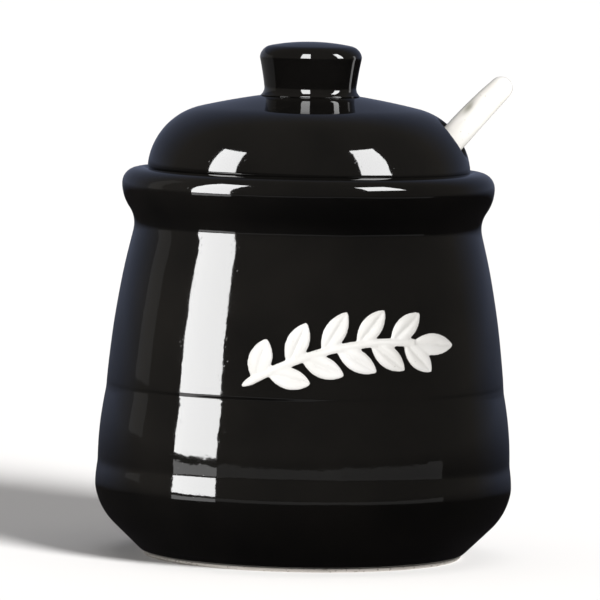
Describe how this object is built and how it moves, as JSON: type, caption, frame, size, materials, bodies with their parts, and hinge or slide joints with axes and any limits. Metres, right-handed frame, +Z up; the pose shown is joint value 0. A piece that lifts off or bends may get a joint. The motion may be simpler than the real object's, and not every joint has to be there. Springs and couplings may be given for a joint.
{
  "type": "sugar bowl",
  "caption": "Bellied lidded sugar jar with a rolled lip, a domed lid with a round knob, a raised leafy sprig, and a spoon whose handle leaves through the lid.",
  "frame": {"origin": "middle of the foot's underside, on the surface that the jar stands on", "axes": "+Z up along the jar's axis; -Y towards the decorated front; the spoon leaves the lid towards +X, turned 6 degrees to the front"},
  "size_m": [0.1, 0.1, 0.1234],
  "materials": {
    "black_glaze": "glossy",
    "bare_clay": "matte",
    "white_slip": "glossy",
    "white_glaze": "glossy"
  },
  "bodies": {
    "jar": {"jar_body": "black_glaze", "jar_foot": "bare_clay", "front_sprig": "white_slip"},
    "lid": {"lid_dome": "black_glaze", "lid_flange": "bare_clay", "lid_knob": "black_glaze"},
    "spoon": {"spoon": "white_glaze"}
  },
  "joints": [
    {"name": "lid_lift", "type": "slide", "parent": "jar", "child": "lid", "axis": [0, 0, 1], "range_m": [0, 0.1]},
    {"name": "spoon_draw", "type": "slide", "parent": "lid", "child": "spoon", "axis": [0.6061, -0.0637, 0.7928], "range_m": [0, 0.03]}
  ]
}
